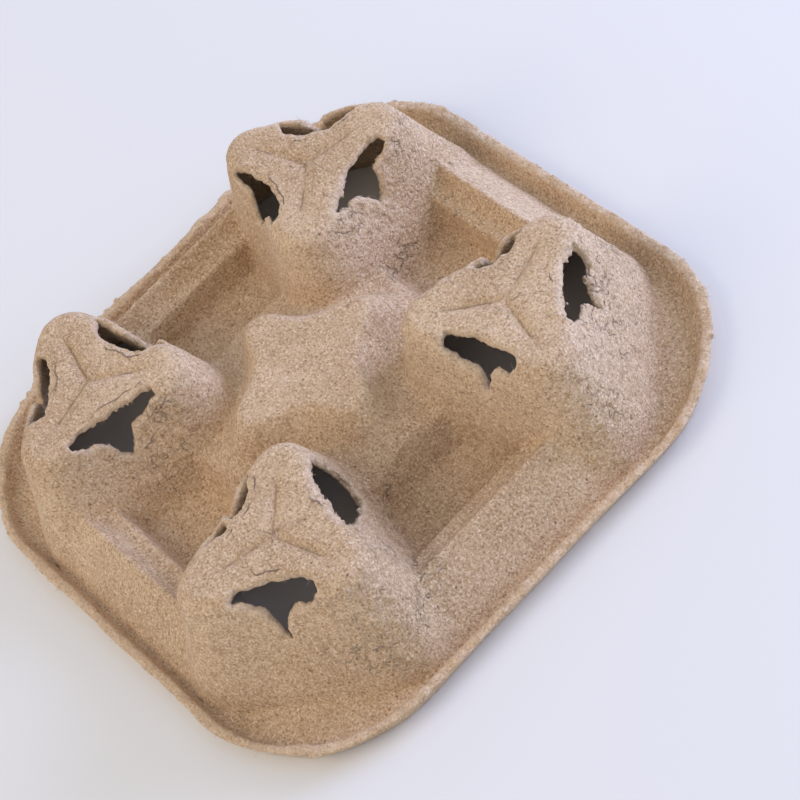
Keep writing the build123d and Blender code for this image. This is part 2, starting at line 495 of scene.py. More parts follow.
    def crumple(self, x: Array, y: Array, z: Array) -> Array:
        """How strongly the skin crumpled as it dried: most on the sides of the cells that face +X and +Y.

        Args:
            x, y, z: places in millimetres.

        Returns:
            The strength, 0 to 1.
        """
        out_x, out_y, _ = from_cell(x, y)
        reach = np.hypot(out_x, out_y)
        facing = (self.crumple_side[0] * out_x + self.crumple_side[1] * out_y) / np.maximum(reach, 1.0)
        upright = smooth_step(z, *self.crumple_from) * (1 - smooth_step(z, *self.crumple_to))
        near = (1 - smooth_step(reach, *self.crumple_reach)) * smooth_step(np.hypot(x, y), *self.crumple_clear)
        turned = smooth_step(facing, *self.crumple_turn)
        return upright * near * (self.crumple_least + (1 - self.crumple_least) * turned)

    def rim_distance(self, x: Array, y: Array) -> Array:
        """Distance outside the rim's inner foot, negative within it.

        Args:
            x, y: places on the plan.

        Returns:
            The distances.
        """
        out_x, out_y = abs(x) - CELL_OFFSET, abs(y) - CELL_OFFSET
        outside = np.hypot(np.maximum(out_x, 0), np.maximum(out_y, 0))
        return outside + np.minimum(np.maximum(out_x, out_y), 0) - (self.rim_reach - CELL_OFFSET)

    def face(self, x: Array, y: Array, inset: float) -> Array:
        """Height of the upper face without the rim, or of the lower one when inset is the thickness."""
        height = smooth_max(self.between(x, y, inset), self.cell(x, y, inset), self.cell_blend)
        return smooth_max(height, self.wall - inset + 0 * x, self.deck_blend)

    def faces(self, x: Array, y: Array, ragged: Noise) -> tuple[Array, Array, Array]:
        """Work out both faces with the rim, which flares out unevenly and ends in a frayed edge.

        Args:
            x, y: places on the plan.
            ragged: noise of the torn edges.

        Returns:
            Heights of the upper face, the lower face and the frayed edge, which is far up within the rim.
        """
        (wave, wave_length), (swing, swing_length) = self.rim_waves
        rim = self.rim_distance(x, y) + wave * ragged(x, y, 0 * x, wave_length)
        x_run, far_run, near_run = self.rim_side_runs
        run = np.where(abs(x) > abs(y), x_run, np.where(y > 0, far_run, near_run))
        flare = (run / self.rim_run) * self.rim_slope + swing * ragged(x, y, 0 * x, swing_length)
        upper = smooth_max(self.face(x, y, 0.0), self.wall + rim / flare, self.rim_blends[0])
        lower = smooth_max(self.face(x, y, self.wall), (rim - self.rim_thickness) / flare, self.rim_blends[1])
        frayed = self.rim_height - self.rim_trim + ragged.layers(x, y, 0 * x, self.rim_fray)
        return upper, lower - self.rim_sag, np.where(rim > 0.5, frayed, 2 * self.cell_height)


@dataclass(frozen=True)
class PulpFinish:
    """Recycled paper pulp, moulded wet on a wire mesh and dried.

    That leaves it matt and felted, grey-brown with pale and dark bits of old paper in it, crumpled where it
    shrank, and paler and hairy where it is torn. Sizes are the real ones in millimetres, but single fibres
    are too thin to show: the grain is drawn as coarse as 0.8 mm, and a fibre is 3 mm by 0.4 mm.
    """

    name: str = "moulded_pulp"
    light: str = "#DCC09C"
    middle: str = "#CEAF89"
    # dark tone of the felt, also used for the painted shade in the creases' valleys
    dark: str = "#B69670"
    pale: str = "#EED9B9"
    grit: str = "#8C6D4D"
    torn: str = "#E2C9A8"
    shade: str = "#6E5540"
    speck: str = "#4A3626"
    fleck: str = "#E6DCCF"
    roughness: float = 0.94
    relief_depth: float = 0.5
    fibre_turns: tuple[Triple, ...] = ((0.3, 0.2, 0.4), (0.9, -0.4, 1.9), (-0.5, 0.8, 2.9))

    def astray(self, tree: Tree, wave: float, reach: float) -> Socket:
        """Places in the piece's own space, pushed aside by noise.

        Args:
            tree: the material's tree.
            wave: size of the noise in millimetres.
            reach: how far it pushes, in millimetres.

        Returns:
            The socket with the places.
        """
        place = tree.nodes["place"].outputs["Object"]
        cloud = add_node(tree, "ShaderNodeTexNoise", {
            "Vector": place, "Scale": 1 / (wave * MM), "Detail": 3.0, "Roughness": 0.55})
        centred = add_node(tree, "ShaderNodeVectorMath", {0: cloud.outputs["Color"], 1: (0.5, 0.5, 0.5)},
                           operation="SUBTRACT")
        scaled = add_node(tree, "ShaderNodeVectorMath", {0: centred.outputs[0], "Scale": reach * MM},
                          operation="SCALE")
        return add_node(tree, "ShaderNodeVectorMath", {0: place, 1: scaled.outputs[0]},
                        operation="ADD").outputs[0]

    def patches(self, tree: Tree, wave: float, detail: float, low: float, high: float, rough: float = 0.55,
                places: Optional[Socket] = None) -> Socket:
        """Mask of cloudy patches.

        Args:
            tree: the material's tree.
            wave: size of the patches in millimetres.
            detail: how many finer layers of noise they have.
            low: noise at which the mask is 0.
            high: noise at which the mask is 1, which may be the lower of the two.
            rough: how strong the finer layers are.
            places: where the noise is read, the piece's own space unless given.

        Returns:
            The mask's socket.
        """
        cloud = add_node(tree, "ShaderNodeTexNoise", {
            "Vector": places or tree.nodes["place"].outputs["Object"], "Scale": 1 / (wave * MM),
            "Detail": detail, "Roughness": rough})
        return add_node(tree, "ShaderNodeMapRange", {
            "Value": cloud.outputs["Fac"], "From Min": low, "From Max": high}, clamp=True).outputs["Result"]

    def trace(self, tree: Tree, distance: str, wave: float, sway: float, edge: float, core: float,
              at: float = 0.0) -> Socket:
        """Mask of a line that wanders about the places where a distance stored on the skin has one value.

        Args:
            tree: the material's tree.
            distance: the attribute that holds it.
            wave: size of the line's bends in millimetres.
            sway: how far it wanders.
            edge: half the line's width, where the mask is 0.
            core: half the width of its dark middle, where the mask is 1.
            at: the value.

        Returns:
            The mask's socket.
        """
        stored = add_node(tree, "ShaderNodeAttribute", attribute_name=distance)
        cloud = add_node(tree, "ShaderNodeTexNoise", {
            "Vector": tree.nodes["place"].outputs["Object"], "Scale": 1 / (wave * MM), "Detail": 3.0,
            "Roughness": 0.55})
        swayed = add_node(tree, "ShaderNodeMath", {
            0: cloud.outputs["Fac"], 1: sway, 2: stored.outputs["Fac"]}, operation="MULTIPLY_ADD")
        off = add_node(tree, "ShaderNodeMath", {0: swayed.outputs[0], 1: at + sway / 2}, operation="SUBTRACT")
        away = add_node(tree, "ShaderNodeMath", {0: off.outputs[0]}, operation="ABSOLUTE")
        return add_node(tree, "ShaderNodeMapRange", {
            "Value": away.outputs[0], "From Min": edge, "From Max": core}, clamp=True).outputs["Result"]

    def overlap(self, tree: Tree, *masks: Mask) -> Socket:
        """Mask of the places where all of several masks show.

        Args:
            tree: the material's tree.
            masks: the masks, or shares that weaken them.

        Returns:
            The mask's socket.
        """
        shown = masks[0]
        for mask in masks[1:]:
            shown = add_node(tree, "ShaderNodeMath", {0: shown, 1: mask}, operation="MULTIPLY").outputs[0]
        return shown

    def union(self, tree: Tree, *masks: Socket) -> Socket:
        """Mask of the places where any of several masks shows.

        Args:
            tree: the material's tree.
            masks: the masks.

        Returns:
            The mask's socket.
        """
        shown = masks[0]
        for mask in masks[1:]:
            shown = add_node(tree, "ShaderNodeMath", {0: shown, 1: mask}, operation="MAXIMUM").outputs[0]
        return shown

    def lay(self, tree: Tree, under: Tint, tint: Tint, *masks: Mask) -> Socket:
        """Lay a tint over a colour.

        Args:
            tree: the material's tree.
            under: the colour so far.
            tint: the colour to lay over it.
            masks: masks and shares that are multiplied to say how much of the tint shows.

        Returns:
            The new colour's socket.
        """
        return add_node(tree, "ShaderNodeMix", {
            MIX_FACTOR: self.overlap(tree, *masks), MIX_UNDER: under, MIX_OVER: tint},
            data_type="RGBA").outputs[MIX_RESULT]

    def felt(self, tree: Tree) -> Socket:
        """Colour of the felted pulp: broad drift, clumps of fibre, then mottle and grain, each dark and pale.

        Args:
            tree: the material's tree.

        Returns:
            The colour's socket.
        """
        cloudy = self.patches(tree, wave=42, detail=3, low=0.36, high=0.64)
        clumps = self.patches(tree, wave=3.4, detail=4, low=0.28, high=0.72, rough=0.68)
        colour = self.lay(tree, self.lay(tree, self.middle, self.dark, cloudy),
                          self.lay(tree, self.light, self.middle, cloudy), clumps)
        mottle, grain = self.astray(tree, wave=4.0, reach=2.5), self.astray(tree, wave=2.5, reach=1.2)
        for places, wave, detail, low, high, share, tint in (
                (mottle, 2.3, 3, 0.46, 0.30, 0.42, self.grit), (mottle, 2.3, 3, 0.56, 0.72, 0.45, self.pale),
                (grain, 0.78, 2, 0.47, 0.31, 0.88, self.grit), (grain, 0.78, 2, 0.53, 0.68, 0.88, self.pale)):
            mask = self.patches(tree, wave, detail, low, high, rough=0.7, places=places)
            colour = self.lay(tree, colour, tint, mask, share)
        return colour

    def fibres(self, tree: Tree) -> Socket:
        """Mask of short fibres lying every way: streaks of noise that is stretched and turned.

        Args:
            tree: the material's tree.

        Returns:
            The mask's socket.
        """
        places = self.astray(tree, wave=6.0, reach=5.0)
        streaks = []
        for turn in self.fibre_turns:
            turned = add_node(tree, "ShaderNodeMapping", {
                "Vector": places, "Rotation": turn, "Scale": (0.13, 1.0, 1.0)}).outputs["Vector"]
            streaks.append(self.patches(tree, wave=0.42, detail=1.5, low=0.60, high=0.76, rough=0.5,
                                        places=turned))
        return self.union(tree, *streaks)

    def bits(self, tree: Tree, spacing: float, size: float, chance: float) -> Socket:
        """Mask of small round bits of old paper.

        Args:
            tree: the material's tree.
            spacing: distance between the places where a bit may lie, in millimetres.
            size: a bit's size as a share of that.
            chance: share of the places that hold one.

        Returns:
            The mask's socket.
        """
        cells = add_node(tree, "ShaderNodeTexVoronoi", {
            "Vector": self.astray(tree, wave=1.2, reach=0.5), "Scale": 1 / (spacing * MM)})
        near = add_node(tree, "ShaderNodeMapRange", {
            "Value": cells.outputs["Distance"], "From Min": size * 1.5, "From Max": size * 0.6}, clamp=True)
        draw = add_node(tree, "ShaderNodeSeparateColor", {"Color": cells.outputs["Color"]})
        picked = add_node(tree, "ShaderNodeMath", {0: draw.outputs[0], 1: chance}, operation="LESS_THAN")
        return self.overlap(tree, near.outputs["Result"], picked.outputs[0])

    def folds(self, tree: Tree) -> Socket:
        """Mask of the broken folds between pillows 4 and 9 mm wide, where the skin crumpled as it dried.

        Args:
            tree: the material's tree.

        Returns:
            The mask's socket.
        """
        places = self.astray(tree, wave=2.6, reach=2.4)
        layers = []
        for wave, width in ((9.0, 0.07), (4.2, 0.12)):
            pillows = add_node(tree, "ShaderNodeTexVoronoi", {"Vector": places, "Scale": 1 / (wave * MM)},
                               feature="DISTANCE_TO_EDGE")
            seams = add_node(tree, "ShaderNodeMapRange", {
                "Value": pillows.outputs["Distance"], "From Min": width, "From Max": 0.0}, clamp=True)
            kept = self.patches(tree, wave=wave * 0.7, detail=1, low=0.40, high=0.60)
            layers.append(self.overlap(tree, seams.outputs["Result"], kept))
        crumple = add_node(tree, "ShaderNodeAttribute", attribute_name="crumple").outputs["Fac"]
        areas = self.patches(tree, wave=19, detail=2, low=0.30, high=0.62)
        return self.overlap(tree, self.union(tree, *layers), crumple, areas)

    def make(self) -> bpy.types.Material:
        """Build the material from object coordinates and what is stored on the skin.

        Returns:
            The material.
        """
        material = bpy.data.materials.new(self.name)
        material.use_nodes = True
        tree = material.node_tree
        tree.nodes.clear()
        add_node(tree, "ShaderNodeTexCoord", name="place")
        colour, fibres = self.felt(tree), self.fibres(tree)
        colour = self.lay(tree, colour, self.light, fibres, 0.38)
        for spacing, size, chance, tint in ((4.2, 0.09, 0.30, self.speck), (2.8, 0.10, 0.35, self.fleck)):
            colour = self.lay(tree, colour, tint, self.bits(tree, spacing, size, chance), 0.7)

        # The deepest folds are cracked, and shade is painted into the cracks
        folds = self.folds(tree)
        cracks_and_shade = add_node(tree, "ShaderNodeMapRange", {
            "Value": folds, "From Min": 0.45, "From Max": 0.85}, clamp=True).outputs["Result"]
        # painted shade in the cracks of the folds
        colour = self.lay(tree, colour, self.shade, cracks_and_shade, 0.36)

        # Torn edges show clean fibre in rough layers with painted shade between them, and a few millimetres
        # inside them the sheet has split, with painted shade in the split
        stored = add_node(tree, "ShaderNodeAttribute", attribute_name="torn").outputs["Fac"]
        torn = add_node(tree, "ShaderNodeMapRange", {
            "Value": stored, "From Min": -1.5, "From Max": -0.3}, clamp=True).outputs["Result"]
        colour = self.lay(tree, colour, self.torn, torn, 0.5)
        layers = self.patches(tree, wave=0.8, detail=3, low=0.55, high=0.7, rough=0.7)
        # painted shade between the torn layers
        colour = self.lay(tree, colour, self.shade, torn, layers, 0.6)
        split_and_shade = self.overlap(tree, self.trace(tree, "rip", wave=7.0, sway=1.6, edge=0.40, core=0.08, at=-2.6),
                             self.patches(tree, wave=12.0, detail=1, low=0.44, high=0.54))
        # painted shade in the split behind the torn edge
        colour = self.lay(tree, colour, self.shade, split_and_shade, 0.7)

        # Pressed creases: painted shade, soft over the valley and stronger in a thin line along its bottom
        faded = add_node(tree, "ShaderNodeAttribute", attribute_name="fade").outputs["Fac"]
        shown = add_node(tree, "ShaderNodeMath", {0: 1.0, 1: faded}, operation="SUBTRACT").outputs[0]
        valley, line = (self.overlap(tree, self.trace(tree, "crease", wave=3.0, sway=0.7, edge=edge, core=core),
                                     shown) for edge, core in ((2.2, 0.0), (0.42, 0.08)))
        line = self.overlap(tree, line, self.patches(tree, wave=6.0, detail=1, low=0.30, high=0.55))
        # painted shade over the creases' valleys and in their bottom lines
        colour = self.lay(tree, colour, self.dark, valley, 0.25)
        colour = self.lay(tree, colour, self.shade, line, 0.42)

        # Relief: felt and pits of the whole skin, fibres that stand up, and what is pressed or broken in
        relief = 0.0
        for wave, detail, depth in ((0.95, 2, 0.9), (2.6, 4, 1.5)):
            cloud = add_node(tree, "ShaderNodeTexNoise", {
                "Vector": tree.nodes["place"].outputs["Object"], "Scale": 1 / (wave * MM), "Detail": detail,
                "Roughness": 0.6})
            relief = add_node(tree, "ShaderNodeMath", {0: cloud.outputs["Fac"], 1: depth, 2: relief},
                              operation="MULTIPLY_ADD").outputs[0]
        for mask, depth in ((fibres, 0.25), (folds, -1.1), (cracks_and_shade, -0.5), (split_and_shade, -1.0), (line, -0.8)):
            relief = add_node(tree, "ShaderNodeMath", {0: mask, 1: depth, 2: relief},
                              operation="MULTIPLY_ADD").outputs[0]
        bump = add_node(tree, "ShaderNodeBump", {
            "Strength": 1.0, "Distance": self.relief_depth * MM, "Height": relief})
        shader = add_node(tree, "ShaderNodeBsdfPrincipled", {
            "Base Color": colour, "Roughness": self.roughness, "Specular IOR Level": 0.2,
            "Sheen Weight": 0.12, "Sheen Roughness": 0.6, "Normal": bump.outputs["Normal"]})
        add_node(tree, "ShaderNodeOutputMaterial", {"Surface": shader.outputs["BSDF"]})
        return material


@dataclass(frozen=True)
class BoardFinish:
    """Painted board: pale, cool and matt, so that it only carries the soft shadow."""

    name: str = "pale_board"
    colour: str = "#E8EAE7"
    roughness: float = 0.9

    def make(self) -> bpy.types.Material:
        """Build the material.

        Returns:
            The material.
        """
        material = bpy.data.materials.new(self.name)
        material.use_nodes = True
        tree = material.node_tree
        tree.nodes.clear()
        shader = add_node(tree, "ShaderNodeBsdfPrincipled", {
            "Base Color": self.colour, "Roughness": self.roughness, "Specular IOR Level": 0.2})
        add_node(tree, "ShaderNodeOutputMaterial", {"Surface": shader.outputs["BSDF"]})
        return material


# The cells as the photograph shows them, by the signs of their X and Y
FRONT, LEFT, RIGHT, BACK = (1, -1), (-1, -1), (1, 1), (-1, 1)

SLOTS = (
    Slot(FRONT, Side.CORNER,
         ((-13.0, 44.0), (-12.2, 42.8), (-9.5, 41.0), (-4.6, 38.2), (-2.8, 34.0), (0.9, 25.4), (2.0, 33.4),
          (5.3, 36.8), (12.6, 39.4), (15.6, 43.0)),
         ((-13.5, 20.3), (-10.8, 16.2), (-5.9, 16.3), (0.4, 15.3), (7.8, 15.2), (14.9, 17.1), (16.0, 21.2))),
    Slot(FRONT, Side.LEFT,
         ((-13.0, 43.8), (-11.0, 42.0), (-7.3, 35.5), (2.6, 26.8), (10.2, 22.0), (15.0, 25.6), (18.0, 29.0),
          (20.0, 34.0), (20.8, 41.0)),
         ((-13.5, 23.0), (-10.2, 20.1), (-3.0, 19.0), (0.1, 19.9), (3.0, 18.3), (13.9, 19.6), (18.0, 20.8),
          (21.0, 23.5))),
    Slot(FRONT, Side.RIGHT,
         ((-16.0, 43.6), (-8.0, 43.0), (-5.0, 42.4), (-3.4, 39.0), (-2.2, 36.5), (-1.2, 41.0), (-0.4, 43.4)),
         ((-16.5, 20.4), (-10.0, 16.2), (-5.0, 15.2), (-0.3, 15.6)), 1.0),
    Slot(FRONT, Side.RIGHT,
         ((2.0, 43.6), (6.0, 43.0), (13.0, 43.8)),
         ((1.8, 16.4), (4.0, 15.6), (13.1, 19.6))),
    Slot(LEFT, Side.LEFT,
         ((-15.0, 43.4), (-14.4, 42.4), (-11.5, 39.8), (-7.0, 38.2), (-4.0, 35.2), (-2.8, 31.6), (0.2, 28.0),
          (1.5, 31.8), (5.1, 37.4), (10.8, 39.0), (16.4, 44.0)),
         ((-15.5, 18.9), (-7.8, 17.0), (1.0, 16.9), (16.0, 17.6))),
    Slot(LEFT, Side.CORNER,
         ((-13.5, 43.2), (-6.0, 43.4), (-3.0, 41.0), (-1.0, 35.0), (0.8, 36.0), (2.5, 41.0), (6.0, 43.0),
          (13.0, 43.5)),
         ((-14.0, 18.5), (-12.2, 16.6), (-7.1, 14.9), (-2.0, 13.5), (5.4, 13.5), (10.7, 14.0), (13.0, 17.5)),
         0.8),
    Slot(LEFT, Side.RIGHT,
         ((-17.0, 43.2), (-14.0, 42.0), (-11.0, 39.0), (-6.0, 33.0), (-2.5, 36.0), (1.0, 41.4), (6.0, 42.6),
          (12.8, 43.2)),
         ((-17.2, 20.0), (-13.9, 17.2), (-8.8, 14.8), (-1.7, 14.6), (6.0, 15.4), (10.0, 16.8), (12.8, 19.0)),
         1.8),
    Slot(RIGHT, Side.RIGHT,
         ((-12.0, 44.6), (-11.4, 42.0), (-9.5, 40.4), (-6.4, 38.6), (-2.0, 36.6), (0.6, 35.4), (2.0, 30.0),
          (4.4, 30.4), (5.4, 37.0), (7.0, 39.2), (14.0, 40.6), (15.9, 44.6)),
         ((-12.2, 16.0), (-8.4, 16.0), (-0.3, 14.9), (7.5, 15.4), (14.2, 16.6), (16.0, 18.5))),
    Slot(RIGHT, Side.CORNER,
         ((-12.4, 43.0), (-10.7, 41.2), (-5.3, 35.2), (0.9, 34.1), (2.0, 32.0), (3.4, 25.0), (5.5, 29.5),
          (10.1, 33.8), (13.0, 33.4), (16.6, 35.0), (17.6, 43.0)),
         ((-12.0, 22.1), (-8.6, 18.9), (2.7, 17.7), (10.5, 18.2), (17.0, 21.3))),
    Slot(RIGHT, Side.LEFT,
         ((-16.5, 43.4), (-10.0, 43.0), (-7.0, 40.0), (-5.0, 35.5), (-3.4, 40.0), (-1.5, 43.8), (2.0, 45.0)),
         ((-16.8, 19.2), (-10.0, 15.6), (-3.4, 14.2), (1.0, 16.4), (3.0, 20.0)), 1.6),
    Slot(RIGHT, Side.LEFT,
         ((8.4, 43.6), (9.6, 42.6), (11.2, 43.6)),
         ((8.0, 19.6), (9.6, 17.6), (11.6, 20.4))),
    Slot(BACK, Side.LEFT,
         ((-16.6, 42.0), (-12.5, 41.0), (-7.4, 41.4), (-6.2, 36.0), (-3.6, 32.0), (-0.4, 30.6), (3.0, 36.0),
          (6.6, 41.2), (12.6, 43.0)),
         ((-16.4, 20.2), (-13.4, 18.0), (-5.5, 15.7), (0.2, 14.5), (8.5, 14.5), (12.6, 17.0))),
    Slot(BACK, Side.RIGHT,
         ((-14.0, 43.6), (-11.9, 40.4), (-8.6, 38.8), (-5.4, 38.8), (-2.8, 37.6), (-0.6, 34.0), (1.5, 29.9),
          (4.3, 31.0), (6.6, 35.0), (8.4, 39.6), (15.6, 41.4), (16.8, 43.0)),
         ((-14.2, 20.4), (-6.5, 18.0), (2.6, 16.5), (11.6, 17.2), (16.8, 18.4))),
    Slot(BACK, Side.CORNER,
         ((-17.4, 43.6), (-9.0, 43.4), (-4.0, 42.0), (-1.6, 37.0), (0.5, 34.0), (2.5, 39.0), (5.0, 43.0),
          (12.4, 43.8)),
         ((-17.9, 20.0), (-7.8, 13.0), (4.0, 12.8), (8.5, 14.6), (12.8, 20.0)), 1.3),
)


@dataclass
class Tray:
    """The carrier's skin: its size on the grid, and how uneven the pulp dried, in millimetres."""

    sheet: PulpSheet = field(default_factory=PulpSheet)
    finish: PulpFinish = field(default_factory=PulpFinish)
    half_width: float = 104.8
    grid_pitch: float = 0.72
    margin: float = 1.6  # space round the carrier on the grid
    face_blend: float = 0.7  # rounding where the two faces of the sheet meet
    edge_blend: float = 0.4  # at the rim's frayed edge
    tear_blend: float = 0.25  # at a torn edge
    triangles: int = 190000
    noise_seeds: tuple[int, ...] = (21, 22, 23, 24)
    swells: tuple[Pair, ...] = ((0.40, 23.0), (0.20, 7.5), (0.11, 3.0), (0.11, 1.5))  # one for each seed
    patches: Triple = (17.0, -0.35, 0.15)  # wave of the crumpled patches, and noise from none to full
    stray: tuple[Pair, ...] = ((2.2, 4.0), (2.2, 4.0), (1.5, 5.0))  # how folds wander along X, Y and Z
    folds: Triple = (4.6, 0.80, 0.98)  # wave, and ridge of the noise from a fold's edge to its bottom
    seams: Triple = (2.4, 0.82, 0.98)
    fold_depth: float = 0.50
    seam_depths: Pair = (0.30, 0.04)  # where the skin crumpled, and everywhere

    end_level: float = 42.5  # the skin above this belongs to a closed end
    torn_band: Pair = (-1.0, 7.0)  # how far in from a slot the closed end is worked
    lip_height: float = 0.35  # raised edge of the closed end beside a slot
    lip_width: Pair = (1.6, 2.5)  # how far in it starts to fall and ends
    groove: Triple = (0.65, 2.6, 0.55)  # depth of the groove behind it, how far in it lies and its width
    broken: Triple = (13.0, -0.5, 0.1)  # wave of the breaks in both, and noise from none to full
    bend_across: Pair = (10, 18)  # middle of a slot to where the bend of its lip fades and is gone
    bend_levels: Pair = (33, 43)
    bend_out: Triple = (16, 18, 30)  # middle of a cell to where the bend sets in, is full and stops

    def steepness(self, height: Array) -> Array:
        """Length of a height field's slope for each millimetre of plan."""
        return np.hypot(1.0, np.hypot(*np.gradient(height, self.grid_pitch)))[..., None]

    def distances(self) -> tuple[Array, Array]:
        """Work out how far each point of a grid lies outside the pulp.

        Returns:
            The distances in millimetres, negative inside the pulp, and the grid's first corner.
        """
        half = self.half_width + self.margin
        flat = np.arange(-half, half, self.grid_pitch)
        levels = np.arange(-self.margin, self.sheet.cell_height + self.margin, self.grid_pitch)
        x, y = np.meshgrid(flat, flat, indexing="ij")
        ragged = Noise(TEAR_SEED)
        upper, lower, free_edge = self.sheet.faces(x, y, ragged)
        z = levels[None, None, :]
        above = (z - upper[..., None]) / self.steepness(upper)
        below = (np.maximum(lower, 0.0)[..., None] - z) / self.steepness(lower)
        distance = smooth_max(above, below, self.face_blend)
        distance = smooth_max(distance, z - free_edge[..., None], self.edge_blend)
        for slot in SLOTS:
            near_x, near_y = (abs(flat - CELL_OFFSET * way) < CELL_SPACE for way in slot.cell)
            high = levels > SLOTS_FROM
            part = np.ix_(near_x, near_y, high)
            places = np.meshgrid(flat[near_x], flat[near_y], levels[high], indexing="ij")
            distance[part] = smooth_max(distance[part], slot.void(*places, ragged), self.tear_blend)
        return distance.astype(np.float32), np.array((-half, -half, -self.margin))

    def wrinkles(self, x: Array, y: Array, z: Array, noises: list[Noise]) -> Array:
        """Unevenness of the dried skin: swells, felt, and folds and seams where it crumpled.

        Args:
            x, y, z: places in millimetres.
            noises: four noises, from the one for broad swells to the one for felt.

        Returns:
            How far the skin stands out at each place, in millimetres.
        """
        broad, middle, small, tiny = noises
        wave, none, full = self.patches
        patch = smooth_step(middle(x, y, z, wave), none, full) * self.sheet.crumple(x, y, z)
        astray = [axis + reach * noise(x, y, z, wave)
                  for axis, noise, (reach, wave) in zip((x, y, z), (small, tiny, broad), self.stray)]
        fold, seam = (smooth_step(1 - np.abs(noise(*astray, wave)), edge, bottom)
                      for noise, (wave, edge, bottom) in ((broad, self.folds), (tiny, self.seams)))
        swell = sum(height * noise(x, y, z, wave) for noise, (height, wave) in zip(noises, self.swells))
        crumpled_seam, plain_seam = self.seam_depths
        return swell - patch * (self.fold_depth * fold + crumpled_seam * seam) - plain_seam * seam

    def roughen(self, mesh: bpy.types.Mesh) -> None:
        """Push the skin's points in and out, and bend the lips of the slots.

        Args:
            mesh: the skin, in millimetres.
        """
        normals = np.empty(len(mesh.vertices) * 3, np.float32)
        mesh.vertex_normals.foreach_get("vector", normals)
        points = read_points(mesh)
        x, y, z = points.T.astype(np.float64)
        noises = [Noise(seed) for seed in self.noise_seeds]
        broad, small = noises[0], noises[2]
        push = self.wrinkles(x, y, z, noises)
        ragged = Noise(TEAR_SEED)
        for slot in SLOTS:
            across, out, turn = slot.place(x, y)
            inside = -slot.floor_gap(x, y, z, ragged) + 0.5 * small(x, y, z, 6.0)
            band = slot.beside(across, 1, 2) & (z > self.end_level)
            band = band & (inside > self.torn_band[0]) & (inside < self.torn_band[1])
            whole = smooth_step(broad(x, y, z, self.broken[0]), *self.broken[1:])
            lip = self.lip_height * (1 - smooth_step(inside, *self.lip_width))
            depth, place, width = self.groove
            push += band * whole * (lip - depth * np.exp(-((inside - place) / width) ** 2))
            near = (1 - smooth_step(abs(across + 1), *self.bend_across)) * smooth_step(z, *self.bend_levels)
            bent = slot.lip * near * smooth_step(out, *self.bend_out[:2]) * (out < self.bend_out[2])
            points[:, 0] += bent * math.cos(turn)
            points[:, 1] += bent * math.sin(turn)
        points += normals.reshape(-1, 3) * push[:, None]
        write_points(mesh, points)

    def raw_mesh(self) -> bpy.types.Mesh:
        """Mesh the surface of the pulp and roughen it.

        Returns:
            The mesh, in millimetres.
        """
        distance, corner = self.distances()
        grid = vdb.FloatGrid(5.0)
        grid.copyFromArray(distance)
        points, _, quads = grid.convertToPolygons(isovalue=0.0, adaptivity=0.0)
        mesh = bpy.data.meshes.new("tray_skin")
        mesh.vertices.add(len(points))
        mesh.vertices.foreach_set("co", (points * self.grid_pitch + corner).astype(np.float32).ravel())
        mesh.loops.add(quads.size)
        mesh.loops.foreach_set("vertex_index", quads[:, ::-1].astype(np.int32).ravel())
        mesh.polygons.add(len(quads))
        mesh.polygons.foreach_set("loop_start", np.arange(0, quads.size, 4, dtype=np.int32))
        mesh.update(calc_edges=True)
        self.roughen(mesh)
        log.info("skin: %d quads before thinning", len(mesh.polygons))
        return mesh

    def skin(self) -> bpy.types.Object:
        """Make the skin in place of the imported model's tray, thinned out to its triangle limit.

        Returns:
            The skin, in metres.
        """
        raw = self.raw_mesh()
        skin = bpy.data.objects.new("tray_skin", raw)
        bpy.context.scene.collection.objects.link(skin)
        modifier = skin.modifiers.new("thin", "DECIMATE")
        modifier.ratio = min(1.0, self.triangles / (2 * len(raw.polygons)))
        final = bpy.data.meshes.new_from_object(skin.evaluated_get(bpy.context.evaluated_depsgraph_get()))
        skin.modifiers.clear()
        skin.data = final
        bpy.data.meshes.remove(raw)
        final.transform(Matrix.Scale(MM, 4))
        keep_in_box(final)
        final.polygons.foreach_set("use_smooth", np.ones(len(final.polygons), bool))
        self.mark(final)
        final.materials.clear()
        final.materials.append(self.finish.make())
        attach(skin, "root")
        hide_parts(BODY)
        log.info("skin: %d points, %d faces", len(final.vertices), len(final.polygons))
        return skin

    def mark(self, mesh: bpy.types.Mesh) -> None:
        """Store what the finish reads: distances from torn edges and creases, in millimetres, and two masks.

        Args:
            mesh: the finished skin, in metres.
        """
        x, y, z = (read_points(mesh) / MM).T.astype(np.float64)
        ragged = Noise(TEAR_SEED)
        torn = np.where(self.sheet.rim_distance(x, y) > 1, z - 8.0, -FAR)
        rip = np.full_like(torn, -FAR)
        for slot in SLOTS:
            torn = np.maximum(torn, slot.void(x, y, z, ragged))
            along = slot.beside(slot.place(x, y)[0], 1, 1) & (z > 42)
            rip = np.where(along, np.maximum(rip, slot.floor_gap(x, y, z, ragged)), rip)
        crease, fade = self.sheet.crease_lines(*from_cell(x, y))
        fade = np.maximum(fade, smooth_step(z, 43.2, 42.0))
        for name, values in (("torn", torn), ("rip", rip), ("crease", crease), ("fade", fade),
                             ("crumple", self.sheet.crumple(x, y, z))):
            values = np.clip(values, -FAR, FAR).astype(np.float32)
            mesh.attributes.new(name, "FLOAT", "POINT").data.foreach_set("value", values)


